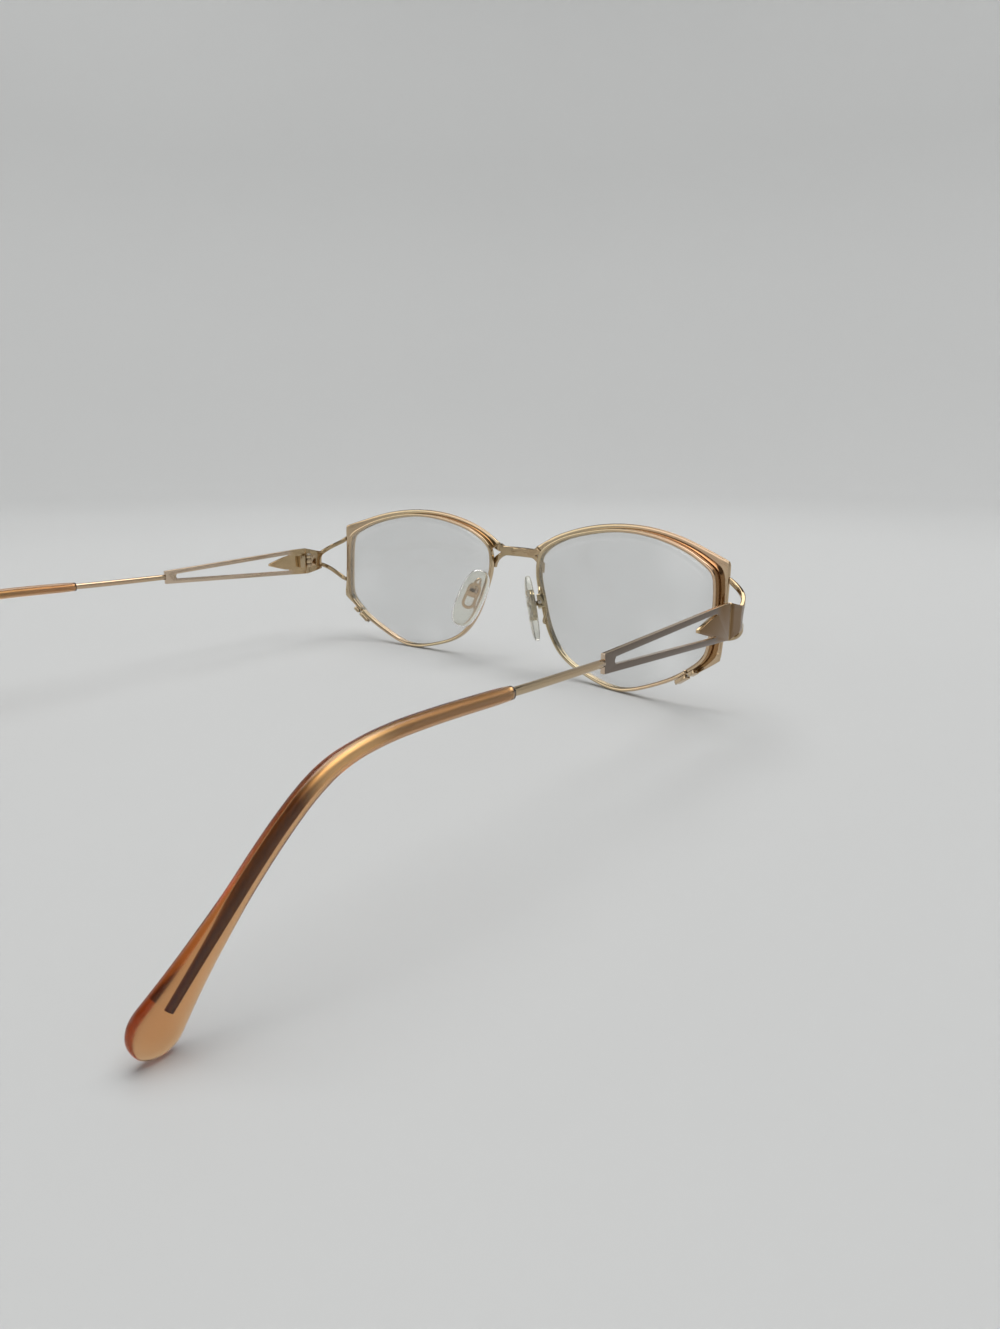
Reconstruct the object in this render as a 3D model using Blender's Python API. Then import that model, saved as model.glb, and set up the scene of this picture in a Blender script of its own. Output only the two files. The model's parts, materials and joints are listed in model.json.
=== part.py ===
"""Cat-eye eyeglasses in gold metal with amber temple tips, as an assembly of separate pieces.

The wearer looks along -Y, +X is the wearer's left and +Z is up. The glasses stand open on the
plane z = 0, on the two eyewires and the two temple tips. Sizes are in metres: MM turns the
millimetres written here into metres. Each piece is modelled for the wearer's left and mirrored.
"""
import math

import bmesh
import bpy
from mathutils import Matrix, Vector

MM = 0.001

# Clearances
BRAZE_GAP = 0.15 * MM           # between two pieces that are brazed or pressed together
RUNNING_GAP = 0.3 * MM          # between two pieces that move against each other

# Lens outline, seen from the front: u runs outward and v upward from the lens centre
LENS_WIDTH = 52.95 * MM
LENS_HEIGHT = 37.7 * MM
BRIDGE_WIDTH = 17.85 * MM       # between the two lenses at their nearest points
# Shares of half the lens width and half the height, counterclockwise from the closing block
LENS_SHAPE = [
    (0.806, -0.556), (0.975, -0.318), (0.989, -0.189), (0.998, 0.088), (0.991, 0.445),
    (0.963, 0.612), (0.859, 0.713), (0.49, 0.911), (0.022, 1.0), (-0.446, 0.929),
    (-0.828, 0.751), (-0.974, 0.59), (-1.0, 0.373), (-0.935, 0.012), (-0.807, -0.435),
    (-0.635, -0.718), (-0.312, -0.914), (0.093, -0.999), (0.46, -0.829),
]
UPPER_CORNER_KNOT = 5           # of LENS_SHAPE: the upper temporal corner
LOWER_CORNER_KNOT = 1           # the lower temporal corner
BROW_START_KNOT = 6             # the brow runs over these knots
BROW_END_KNOT = 11
OUTLINE_STEPS = 3               # stations between two points of the lens outline
FACE_FORM = math.radians(6.1)   # each lens plane turns back towards the temple
PANTOSCOPIC = math.radians(5.95)  # the lens planes lean forward at the top
FRONT_CURVE = 150.0 * MM        # radius of the lens and rim curve

# Eyewires and lenses
EYEWIRE_WIDTH = 0.95 * MM       # across the wire, in the lens plane
EYEWIRE_DEPTH = 1.7 * MM
EYEWIRE_EDGE = 0.15 * MM
GROOVE_DEPTH = 0.45 * MM
GROOVE_HALF = 0.4 * MM
LENS_THICKNESS = 1.5 * MM
LENS_SEAT = 0.15 * MM           # how far the lens edge reaches into the groove
LENS_RING = 0.55                # share of the outline where the faces of the lens have a ring

# Brow trim: a stamped plate on the front of each eyewire
TRIM_THICKNESS = 0.8 * MM
TRIM_LAP = 0.35 * MM            # from the lens opening to the inner edge of the trim
TRIM_EDGE = 0.15 * MM
BROW_RISE = [3.7 * MM, 2.5 * MM, 2.3 * MM, 2.15 * MM, 2.45 * MM, 3.3 * MM]
STRIP_WIDTH = 2.75 * MM         # from the lens opening, down the temporal side
CORNER_RISE = 3.4 * MM          # the cat-eye corner above the upper corner of the lens
CORNER_CUT = 0.5 * MM           # the flat at the very point of the cat-eye corner
STRIP_DROP = 1.2 * MM           # its lower corner below the lower corner of the lens
TRIM_END_WIDTH = 1.8 * MM       # at the parting of the closing block

# Bridge
BRIDGE_BAR = 2.45 * MM          # height of the bar
BRIDGE_HALF = 4.3 * MM          # half the length of its straight part
BRIDGE_RISE = 11.15 * MM        # middle of the bar above the lens centre
BRIDGE_THICKNESS = 1.1 * MM
BRIDGE_BOW = 0.9 * MM           # how far the bar arches forward of the trims
BRIDGE_CROTCH = 1.75 * MM       # from the straight part to the point where the branches part
BRIDGE_CROTCH_DROP = 0.41 * MM  # below the middle of the bar
BRIDGE_BEND = 1.5 * MM          # how far the edges of the branches run on before they turn
BRIDGE_WINDOW_KNOT = 11.5       # of LENS_SHAPE: where the window between the branches ends
BRIDGE_WINDOW_SLANT = 0.1       # more of it at the edge of the lens opening
BRIDGE_FOOT_KNOT = 12.1         # where the lower branch ends on the eyewire
BRIDGE_STEPS = 5                # along each bend of its outline
BRIDGE_BOW_CUTS = 8             # slices over its bow

# Endpieces: a fork of two prongs and the plate that carries the hinge
ENDPIECE_REACH = 5.9 * MM      # from the edge of the trim out to the temple plane
SEAM_SETBACK = 12.05 * MM       # from the edge of the trim back to the hinge seam
HINGE_RISE = 4.75 * MM          # temple line above the lens centre
UPPER_ROOT = 10.8 * MM          # where the prongs leave the trim, above and below the lens centre
LOWER_ROOT = -1.95 * MM
UPPER_LEAD = (2.3 * MM, 0.1 * MM, -1.7 * MM)     # how the prongs leave the trim and meet the plate
UPPER_TRAIL = (-0.2 * MM, -3.9 * MM, 2.6 * MM)
LOWER_LEAD = (3.3 * MM, -1.0 * MM, -0.3 * MM)
LOWER_TRAIL = (-0.6 * MM, -4.0 * MM, -1.0 * MM)
PRONG_STEPS = 8
PRONG_EMBED = 0.9 * MM          # how far a prong runs into the plate
PRONG_WIDTH = 1.2 * MM
PRONG_THICKNESS = 0.9 * MM
PLATE_THICKNESS = 1.0 * MM
PLATE_EDGE = 0.1 * MM
SEAM_TOP = 3.75 * MM            # edges of the plates above and below the temple line
SEAM_BOTTOM = 4.05 * MM
FORK_TOP = 2.1 * MM
FORK_BOTTOM = 3.0 * MM
UPPER_SEAT = 1.25 * MM          # where the prongs enter the plate, above and below the line
LOWER_SEAT = 1.7 * MM
FORK_LENGTH = 6.4 * MM          # from the front of the plate to the seam
FORK_HOLLOW = 0.5 * MM          # how far the front edge of the plate is hollowed
FORK_SLANT = 0.6 * MM
FORK_SHOULDER = 2.4 * MM

# Hinge: three barrels on an upright screw, inside the temple plane
HINGE_OFFSET = 1.3 * MM         # screw axis inside the inner face of the plates
HINGE_HEIGHT = 3.4 * MM
BARREL_RADIUS = 1.0 * MM
BARREL_BORE = 0.6 * MM
BARREL_HEIGHT = 0.8 * MM        # the two barrels of the front leaf
LEAF_END = 3.1 * MM             # the leaves reach this far from the screw
FRONT_LEAF_THICKNESS = 0.6 * MM
WEB_INSET = 0.1 * MM
TEMPLE_LEAF_THICKNESS = 1.1 * MM
HINGE_SCREW_RADIUS = 0.4 * MM
HINGE_HEAD_RADIUS = 0.75 * MM
HINGE_HEAD_HEIGHT = 0.45 * MM
SLOT_WIDTH = 0.25 * MM

# Temples: an openwork plate, a wire and a plastic tip
OPENWORK_LENGTH = 46.0 * MM     # from the seam to the rear of the plate
OPENWORK_SHOULDER = 4.0 * MM    # the upper edge is level up to here
BAR_WIDTH = 1.25 * MM
REAR_TOP = 2.1 * MM
REAR_BOTTOM = 1.4 * MM
NOTCH_START = 6.0 * MM          # where the openwork begins behind the seam
TAB_LENGTH = 7.2 * MM           # the arrow-shaped tab that points into the opening
TAB_ROUND = 0.35 * MM           # half the height of the tab's blunt point
TAB_BLUNT = 0.1 * MM            # length of that point
NOTCH_ROUND = (0.07 * MM, 0.28 * MM)  # along and across, where the tab leaves the plate
TAB_SHARES = [(0.28, 0.76), (0.6, 0.5)]          # along the tab, and of its height at the root
JUNCTION_LENGTH = 3.0 * MM
WIRE_RADIUS = 0.8 * MM
CORE_RADIUS = 0.6 * MM          # the same wire inside the plastic tip
CORE_SHY = 4.4 * MM             # the core stops this far short of the end of the tip
SLEEVE_START = 69.5 * MM        # behind the seam
# Centre line of the temple in millimetres: behind the seam, and above the temple line
TEMPLE_RUN = [(46.0, 0.45), (58.0, 0.65), (69.5, 0.95), (78.0, 1.25), (86.0, 1.45),
              (93.0, 1.35), (97.5, 0.85), (101.5, -0.15), (104.5, -1.65), (108.0, -4.15),
              (111.5, -7.1), (115.6, -10.9), (119.6, -14.6), (123.0, -17.8), (124.9, -19.6)]
# Height of the tip in millimetres at shares of its length
TIP_HEIGHTS = [(0.0, 2.1), (0.05, 2.4), (0.45, 2.4), (0.55, 2.85), (0.78, 2.95), (0.88, 4.2),
               (0.94, 5.3), (1.0, 6.8)]
TIP_THICKNESS_FRONT = 2.1 * MM
TIP_THICKNESS_REAR = 2.4 * MM
TEMPLE_STEPS = 3                # stations between two points of the temple run
TIP_ROUND_STEPS = 4
TIP_SIDES = 12
TIP_SQUARENESS = 0.8            # 1 is an ellipse, smaller is squarer
TIP_END_SHARE = 0.9             # length of the rounded end over half the tip's height
TIP_END_THIN = 0.4              # thickness at the very end over the full thickness

# Nose pads
PAD_LENGTH = 17.3 * MM
PAD_WIDTH = 7.6 * MM
PAD_SQUARENESS = (0.75, 0.75, 0.6)  # 1 is an ellipsoid, smaller is squarer
PAD_FRONT_BULGE = 1.5 * MM      # towards the nose
PAD_BACK_BULGE = 1.0 * MM
PAD_PLACE = (2.025 * MM, 5.0 * MM, -1.8 * MM)  # pad middle; see bridge_point
PAD_FLARE = math.radians(21.0)  # the tops of the pads lean together
PAD_LEAN = math.radians(11.0)   # the tops lean forward
PAD_SPLAY = math.radians(39.0)  # the rear edges stand apart
PIVOT_REACH = 1.95 * MM         # pad middle to the screw, away from the nose
PIVOT_UP = 1.1 * MM
INSERT_LENGTH = 8.0 * MM
INSERT_WIDTH = 4.0 * MM
INSERT_THICKNESS = 0.5 * MM
INSERT_RIM = 0.8 * MM
INSERT_EDGE = 0.05 * MM
INSERT_CENTRING = 0.6           # 0 puts the insert's middle with the pad's, 1 with the screw
LUG_THICKNESS = 0.8 * MM
LUG_RADIUS = 0.7 * MM
LUG_BORE = 0.42 * MM
BOX_TOP = 2.2 * MM              # above the screw
BOX_BOTTOM = 1.4 * MM
BOX_WALL = 0.45 * MM
BOX_BACK = 1.35 * MM            # behind the screw
BOX_FRONT = 0.5 * MM            # towards the pad
PAD_SCREW_RADIUS = 0.25 * MM
PAD_HEAD_RADIUS = 0.5 * MM
PAD_HEAD_HEIGHT = 0.3 * MM
ARM_RADIUS = 0.42 * MM
ARM_KNOT = 13.75                # of LENS_SHAPE: where the arm is brazed to the back of the eyewire
ARM_SETBACK = 0.5 * MM          # how far it runs straight back from the eyewire
ARM_WAIST = (3.375 * MM, 1.15 * MM, -3.1 * MM)  # a point below the box; see bridge_point
ARM_CREST = (1.475 * MM, 1.5 * MM, 3.4 * MM)  # top of its bend; see bridge_point
ARM_NECK = 0.7 * MM             # its straight end above the box
ARM_STEPS = 4

# Closing blocks, which open the eyewires so that a lens can be changed
BLOCK_PARTING = 0.8 * MM        # between the two halves
BLOCK_UPPER = 1.9 * MM          # each half, along the wire
BLOCK_LOWER = 3.5 * MM
BLOCK_HEIGHT = 1.0 * MM         # out from the wire
BLOCK_DEPTH = 1.7 * MM
BLOCK_SET = 0.3 * MM            # its middle behind the middle of the eyewire
BLOCK_EDGE = 0.12 * MM
BLOCK_BORE = 0.33 * MM
BLOCK_SCREW_RADIUS = 0.2 * MM
BLOCK_HEAD_RADIUS = 0.42 * MM
BLOCK_HEAD_HEIGHT = 0.3 * MM

ROUND_SIDES = 20                # of the hinge barrels
HEAD_SIDES = 16                 # of the screw heads
FINE_SIDES = 12                 # of the screws and the small holes

GOLD = ("gold_metal", (0.62, 0.47, 0.30), 1.0, 0.22)
STEEL = ("screw_metal", (0.50, 0.47, 0.42), 1.0, 0.3)
CLEAR_LENS = ("clear_lens", (0.95, 0.97, 0.97), 0.0, 0.05)
CLEAR_PAD = ("clear_pad", (0.90, 0.92, 0.84), 0.0, 0.15)
AMBER = ("amber_plastic", (0.72, 0.40, 0.18), 0.0, 0.2)


# Scene and object helpers

def clear_scene():
    for old in list(bpy.data.objects):
        bpy.data.objects.remove(old, do_unlink=True)


def new_collection(name):
    made = bpy.data.collections.new(name)
    bpy.context.scene.collection.children.link(made)
    return made


def new_material(name, finish):
    colour, metallic, roughness = finish[1:]
    made = bpy.data.materials.new(name)
    made.use_nodes = True
    shader = made.node_tree.nodes["Principled BSDF"]
    shader.inputs["Base Color"].default_value = (*colour, 1.0)
    shader.inputs["Metallic"].default_value = metallic
    shader.inputs["Roughness"].default_value = roughness
    return made


def add_object(name, mesh, finish, origin=(0, 0, 0)):
    """A named piece whose mesh is given in world places and whose origin is put at a point."""
    mesh.name = name
    mesh.transform(Matrix.Translation(-Vector(origin)))
    for polygon in mesh.polygons:
        polygon.use_smooth = True
    mesh.set_sharp_from_angle(angle=math.radians(35))
    made = bpy.data.objects.new(name, mesh)
    made.location = origin
    mesh.materials.clear()
    mesh.materials.append(new_material(name + "_" + finish[0], finish))
    PARTS.objects.link(made)
    return made


def add_pair(name, mesh, finish, origin=(0, 0, 0)):
    """The wearer's left piece and its mirror image on the right."""
    twin = mesh.copy()
    twin.transform(Matrix.Scale(-1.0, 4, (1, 0, 0)))
    twin.flip_normals()
    add_object("left_" + name, mesh, finish, origin)
    add_object("right_" + name, twin, finish, (-origin[0], origin[1], origin[2]))


def mesh_from_bmesh(shape):
    bmesh.ops.remove_doubles(shape, verts=shape.verts, dist=0.001 * MM)
    bmesh.ops.recalc_face_normals(shape, faces=shape.faces)
    mesh = bpy.data.meshes.new("shape")
    shape.to_mesh(mesh)
    shape.free()
    return mesh


def evaluated_mesh(holder):
    """The mesh of an object with its modifiers, or of a curve, then the object is removed."""
    bpy.context.view_layer.update()
    evaluated = holder.evaluated_get(bpy.context.evaluated_depsgraph_get())
    mesh = bpy.data.meshes.new_from_object(evaluated)
    mesh.transform(holder.matrix_world)
    bpy.data.objects.remove(holder, do_unlink=True)
    return mesh


def combine(base, tool, operation):
    """An exact Boolean of two meshes in world places."""
    holder = bpy.data.objects.new("base", base)
    cutter = bpy.data.objects.new("cutter", tool)
    PARTS.objects.link(holder)
    CUTTERS.objects.link(cutter)
    cutter.hide_render = True
    cutter.display_type = "WIRE"
    step = holder.modifiers.new("combine", "BOOLEAN")
    step.operation = operation
    step.solver = "EXACT"
    step.object = cutter
    mesh = evaluated_mesh(holder)
    bpy.data.objects.remove(cutter, do_unlink=True)
    return mesh


def loft(sections):
    """A skin over a row of sections with equal point counts, capped at both ends."""
    shape = bmesh.new()
    rings = [[shape.verts.new(point) for point in section] for section in sections]
    count = len(rings[0])
    for ring, following in zip(rings, rings[1:]):
        for index in range(count):
            after = (index + 1) % count
            shape.faces.new((ring[index], ring[after], following[after], following[index]))
    shape.faces.new(list(reversed(rings[0])))
    shape.faces.new(rings[-1])
    return mesh_from_bmesh(shape)


def frame_matrix(origin, x_axis, y_axis, z_axis):
    turn = Matrix((x_axis, y_axis, z_axis)).transposed().to_4x4()
    return Matrix.Translation(origin) @ turn


def cylinder(radius, length, place=None, sides=ROUND_SIDES):
    """A cylinder along the local z axis, from z = 0 to its length."""
    shape = bmesh.new()
    bmesh.ops.create_cone(shape, cap_ends=True, segments=sides, radius1=radius, radius2=radius,
                          depth=length, matrix=Matrix.Translation((0, 0, length / 2)))
    mesh = mesh_from_bmesh(shape)
    mesh.transform(place or Matrix.Identity(4))
    return mesh


def block(low, high, place=None, edge=0.0):
    """A box between two corners, with an optional chamfer on every edge."""
    size = [b - a for a, b in zip(low, high)]
    middle = [(a + b) / 2 for a, b in zip(low, high)]
    shape = bmesh.new()
    bmesh.ops.create_cube(shape, size=1.0)
    bmesh.ops.scale(shape, vec=size, verts=shape.verts)
    bmesh.ops.translate(shape, vec=middle, verts=shape.verts)
    if edge > 0:
        bmesh.ops.bevel(shape, geom=shape.edges[:], offset=edge, segments=1, affect="EDGES")
    mesh = mesh_from_bmesh(shape)
    mesh.transform(place or Matrix.Identity(4))
    return mesh


def plate(loops, thickness, edge, place):
    """A flat plate with chamfered edges from closed loops of points in the local xy plane."""
    data = bpy.data.curves.new("outline", "CURVE")
    data.dimensions = "2D"
    data.fill_mode = "BOTH"
    data.extrude = thickness / 2 - edge
    data.bevel_depth = edge
    data.bevel_resolution = 0
    data.offset = -edge
    for points in loops:
        spline = data.splines.new("POLY")
        spline.points.add(len(points) - 1)
        for target, point in zip(spline.points, points):
            target.co = (point[0], point[1], 0, 1)
        spline.use_cyclic_u = True
    holder = bpy.data.objects.new("outline", data)
    PARTS.objects.link(holder)
    mesh = weld(evaluated_mesh(holder))
    mesh.transform(place)
    return mesh


def wire(points, radii, resolution=2):
    """A round wire along points, with its own radius at each, as a filled curve."""
    data = bpy.data.curves.new("wire", "CURVE")
    data.dimensions = "3D"
    data.bevel_depth = 1.0
    data.bevel_resolution = resolution
    data.use_fill_caps = True
    spline = data.splines.new("POLY")
    spline.points.add(len(points) - 1)
    for target, point, radius in zip(spline.points, points, radii):
        target.co = (*point, 1)
        target.radius = radius
    holder = bpy.data.objects.new("wire", data)
    PARTS.objects.link(holder)
    return weld(evaluated_mesh(holder))


def weld(mesh):
    shape = bmesh.new()
    shape.from_mesh(mesh)
    return mesh_from_bmesh(shape)


# Curves

def smooth_path(points, steps, closed=False):
    """Points on a smooth curve through the given ones, with steps stations on each stretch."""
    knots = [Vector(point) for point in points]
    count = len(knots)
    stretches = count if closed else count - 1

    def tangent(index):
        if not closed and index in (0, count - 1):
            near = 1 if index == 0 else count - 2
            return (knots[near] - knots[index]) * (1 if index == 0 else -1), 1.0
        before = knots[index] - knots[index - 1]
        after = knots[(index + 1) % count] - knots[index]
        mean = (before * after.length / before.length + after * before.length / after.length)
        return mean / (before.length + after.length), None

    path = []
    for index in range(stretches):
        start = knots[index]
        end = knots[(index + 1) % count]
        chord = (end - start).length
        slopes = []
        for at in (index, (index + 1) % count):
            slope, fixed = tangent(at)
            slopes.append(slope if fixed else slope * chord)
        for step in range(steps):
            t = step / steps
            path.append((2 * t**3 - 3 * t**2 + 1) * start + (t**3 - 2 * t**2 + t) * slopes[0]
                        + (3 * t**2 - 2 * t**3) * end + (t**3 - t**2) * slopes[1])
    if not closed:
        path.append(knots[-1])
    return path


def bezier(start, lead, trail, end, steps):
    """Points on a cubic curve from start to end, pulled by its two handles."""
    path = []
    for step in range(steps + 1):
        t = step / steps
        path.append((1 - t)**3 * start + 3 * (1 - t)**2 * t * lead
                    + 3 * (1 - t) * t**2 * trail + t**3 * end)
    return path


def share_value(table, share):
    """A value read from (share, value) pairs by straight lines."""
    for (low, first), (high, second) in zip(table, table[1:]):
        if share <= high:
            return first + (second - first) * (share - low) / (high - low)
    return table[-1][1]


# The front surface: both lenses, rims and trims follow it

def lens_outline():
    knots = [(u * LENS_WIDTH / 2, v * LENS_HEIGHT / 2) for u, v in LENS_SHAPE]
    return smooth_path(knots, OUTLINE_STEPS, closed=True)


def outline_normals(outline):
    count = len(outline)
    normals = []
    for index in range(count):
        along = outline[(index + 1) % count] - outline[index - 1]
        normals.append(Vector((along.y, -along.x)).normalized())
    return normals


OUTLINE = lens_outline()
NORMALS = outline_normals(OUTLINE)
LENS_AXIS_U = Vector((math.cos(FACE_FORM), math.sin(FACE_FORM), 0))
LENS_AXIS_V = Vector((0, -math.sin(PANTOSCOPIC), math.cos(PANTOSCOPIC)))
LENS_AXIS_V = (LENS_AXIS_V - LENS_AXIS_U * LENS_AXIS_V.dot(LENS_AXIS_U)).normalized()
LENS_AXIS_N = LENS_AXIS_U.cross(LENS_AXIS_V)
OPENING_IN = min(point.x for point in OUTLINE)
OPENING_OUT = max(point.x for point in OUTLINE)
LENS_CENTRE_X = BRIDGE_WIDTH / 2 - OPENING_IN * LENS_AXIS_U.x


def curved_point(u, v, n):
    """A point of the front from the lens centre: u outward, v up and n forward of the middle."""
    sag = FRONT_CURVE - math.sqrt(FRONT_CURVE**2 - u * u - v * v)
    return LENS_AXIS_U * u + LENS_AXIS_V * v + LENS_AXIS_N * (n - sag)


LOWEST = min(curved_point(*(point + normal * EYEWIRE_WIDTH), side * EYEWIRE_DEPTH / 2).z
             for point, normal in zip(OUTLINE, NORMALS) for side in (-1, 1))
LENS_CENTRE = Vector((LENS_CENTRE_X, 0, -LOWEST))
TRIM_BACK = EYEWIRE_DEPTH / 2 + BRAZE_GAP
TRIM_FRONT = TRIM_BACK + TRIM_THICKNESS
TRIM_MIDDLE = (TRIM_BACK + TRIM_FRONT) / 2
STRIP_EDGE = OPENING_OUT + STRIP_WIDTH
PLATE_X = (LENS_CENTRE + curved_point(STRIP_EDGE, UPPER_ROOT, TRIM_MIDDLE)).x + ENDPIECE_REACH
PLATE_INNER = PLATE_X - PLATE_THICKNESS / 2
SEAM_Y = (LENS_CENTRE + curved_point(STRIP_EDGE, UPPER_ROOT, TRIM_MIDDLE)).y + SEAM_SETBACK
TEMPLE_LINE = LENS_CENTRE.z + HINGE_RISE
HINGE_AXIS = Vector((PLATE_INNER - HINGE_OFFSET, SEAM_Y, TEMPLE_LINE))


def front_point(u, v, n):
    return LENS_CENTRE + curved_point(u, v, n)


def front_frame(u, v, along):
    """Place and axes on the front surface: along the wire, outward from it, and backward."""
    small = 0.1 * MM
    here = front_point(u, v, 0)
    ahead = front_point(u + along.x * small, v + along.y * small, 0)
    outward = front_point(u + along.y * small, v - along.x * small, 0)
    x_axis = (ahead - here).normalized()
    y_axis = (outward - here)
    y_axis = (y_axis - x_axis * y_axis.dot(x_axis)).normalized()
    return here, x_axis, y_axis, x_axis.cross(y_axis)


# Pieces of the front

def make_eyewire():
    """A grooved wire bent round the lens, open by a small gap at the closing block."""
    half = EYEWIRE_DEPTH / 2
    profile = [(0, -GROOVE_HALF), (GROOVE_DEPTH, 0), (0, GROOVE_HALF), (0, half - EYEWIRE_EDGE),
               (EYEWIRE_EDGE, half), (EYEWIRE_WIDTH - EYEWIRE_EDGE, half),
               (EYEWIRE_WIDTH, half - EYEWIRE_EDGE), (EYEWIRE_WIDTH, EYEWIRE_EDGE - half),
               (EYEWIRE_WIDTH - EYEWIRE_EDGE, -half), (EYEWIRE_EDGE, -half),
               (0, EYEWIRE_EDGE - half)]
    stations = list(zip(OUTLINE, NORMALS))
    stations.append(stations[0])
    along = Vector((-NORMALS[0].y, NORMALS[0].x))
    shift = along * RUNNING_GAP / 2
    stations[0] = (stations[0][0] + shift, stations[0][1])
    stations[-1] = (stations[-1][0] - shift, stations[-1][1])
    sections = []
    for point, normal in stations:
        sections.append([front_point(*(point + normal * r), n) for r, n in profile])
    add_pair("eyewire", loft(sections), GOLD)


def make_lens():
    """A curved lens whose edge is bevelled to fit the groove."""
    half = LENS_THICKNESS / 2
    lip = GROOVE_HALF - BRAZE_GAP - LENS_SEAT
    edge = [(-BRAZE_GAP, half), (-BRAZE_GAP, lip), (LENS_SEAT, 0), (-BRAZE_GAP, -lip),
            (-BRAZE_GAP, -half)]
    shape = bmesh.new()
    faces = [[front_point(*(point * LENS_RING), n) for point in OUTLINE] for n in (half, -half)]
    middle = [[front_point(*(point + normal * r), n) for point, normal in zip(OUTLINE, NORMALS)]
              for r, n in edge]
    rings = [[shape.verts.new(point) for point in ring]
             for ring in [faces[0]] + middle + [faces[1]]]
    count = len(OUTLINE)
    for ring, following in zip(rings, rings[1:]):
        for index in range(count):
            after = (index + 1) % count
            shape.faces.new((ring[index], ring[after], following[after], following[index]))
    for ring, n in ((rings[0], half), (rings[-1], -half)):
        centre = shape.verts.new(front_point(0, 0, n))
        for index in range(count):
            shape.faces.new((centre, ring[index], ring[(index + 1) % count]))
    add_pair("lens", mesh_from_bmesh(shape), CLEAR_LENS)


def outline_span(first, last):
    """Stations of the lens outline between two of its knots, with their normals."""
    indices = range(first * OUTLINE_STEPS, last * OUTLINE_STEPS + 1)
    count = len(OUTLINE)
    return [(OUTLINE[i % count], NORMALS[i % count]) for i in indices]


def brow_rails():
    """Inner and outer edges of the trim, from the bridge round to the closing block."""
    corner = OUTLINE[UPPER_CORNER_KNOT * OUTLINE_STEPS]
    top_v = corner.y + CORNER_RISE
    low = OUTLINE[LOWER_CORNER_KNOT * OUTLINE_STEPS]
    knots = []
    for knot, rise in zip(range(BROW_END_KNOT, BROW_START_KNOT - 1, -1), BROW_RISE):
        index = knot * OUTLINE_STEPS
        knots.append(OUTLINE[index] + NORMALS[index] * rise)
    knots.append(Vector((STRIP_EDGE - CORNER_CUT, top_v)))
    outer_brow = smooth_path(knots, OUTLINE_STEPS)
    inner_brow = [point + normal * TRIM_LAP for point, normal
                  in reversed(outline_span(BROW_START_KNOT - 1, BROW_END_KNOT))]
    outer_strip = [Vector((STRIP_EDGE, v)) for v in (top_v - CORNER_CUT, low.y - STRIP_DROP)]
    spans = (UPPER_CORNER_KNOT - LOWER_CORNER_KNOT) * OUTLINE_STEPS
    outer_side = [outer_strip[0].lerp(outer_strip[1], step / (spans - 1))
                  for step in range(spans)]
    inner_side = [point + normal * TRIM_LAP for point, normal
                  in reversed(outline_span(LOWER_CORNER_KNOT, UPPER_CORNER_KNOT))][1:]
    inner_tail = [OUTLINE[i] + NORMALS[i] * TRIM_LAP for i in range(OUTLINE_STEPS - 1, -1, -1)]
    tail_end = OUTLINE[0] + NORMALS[0] * TRIM_END_WIDTH
    outer_tail = [outer_strip[1].lerp(tail_end, (step + 1) / len(inner_tail))
                  for step in range(len(inner_tail))]
    return inner_brow + inner_side + inner_tail, outer_brow + outer_side + outer_tail


def trim_section(inner, outer, back, front, edge):
    across = (outer - inner).normalized() * edge
    corners = [(inner, back + edge), (inner + across, back), (outer - across, back),
               (outer, back + edge), (outer, front - edge), (outer - across, front),
               (inner + across, front), (inner, front - edge)]
    return [front_point(*point, n) for point, n in corners]


def make_brow_trim():
    """A flat stamping along the brow and down the temporal side, pointed at the corner."""
    inner, outer = brow_rails()
    sections = [trim_section(a, b, TRIM_BACK, TRIM_FRONT, TRIM_EDGE)
                for a, b in zip(inner, outer)]
    add_pair("brow_trim", loft(sections), GOLD)


def rim_point(knot, reach):
    """A point that lies a given reach outside the lens opening, at a whole or part knot."""
    index = knot * OUTLINE_STEPS
    low = int(index)
    point = OUTLINE[low].lerp(OUTLINE[low + 1], index - low)
    normal = NORMALS[low].lerp(NORMALS[low + 1], index - low)
    return point + normal.normalized() * reach


def front_place(x, z, n):
    """The point of the left front surface, n forward of it, at a world x and z."""
    u = (x - LENS_CENTRE.x) / LENS_AXIS_U.x
    v = (z - LENS_CENTRE.z) / LENS_AXIS_V.z
    for _ in range(4):
        point = front_point(u, v, n)
        u += (x - point.x) / LENS_AXIS_U.x
        v += (z - point.z) / LENS_AXIS_V.z
    return front_point(u, v, n)


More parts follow.
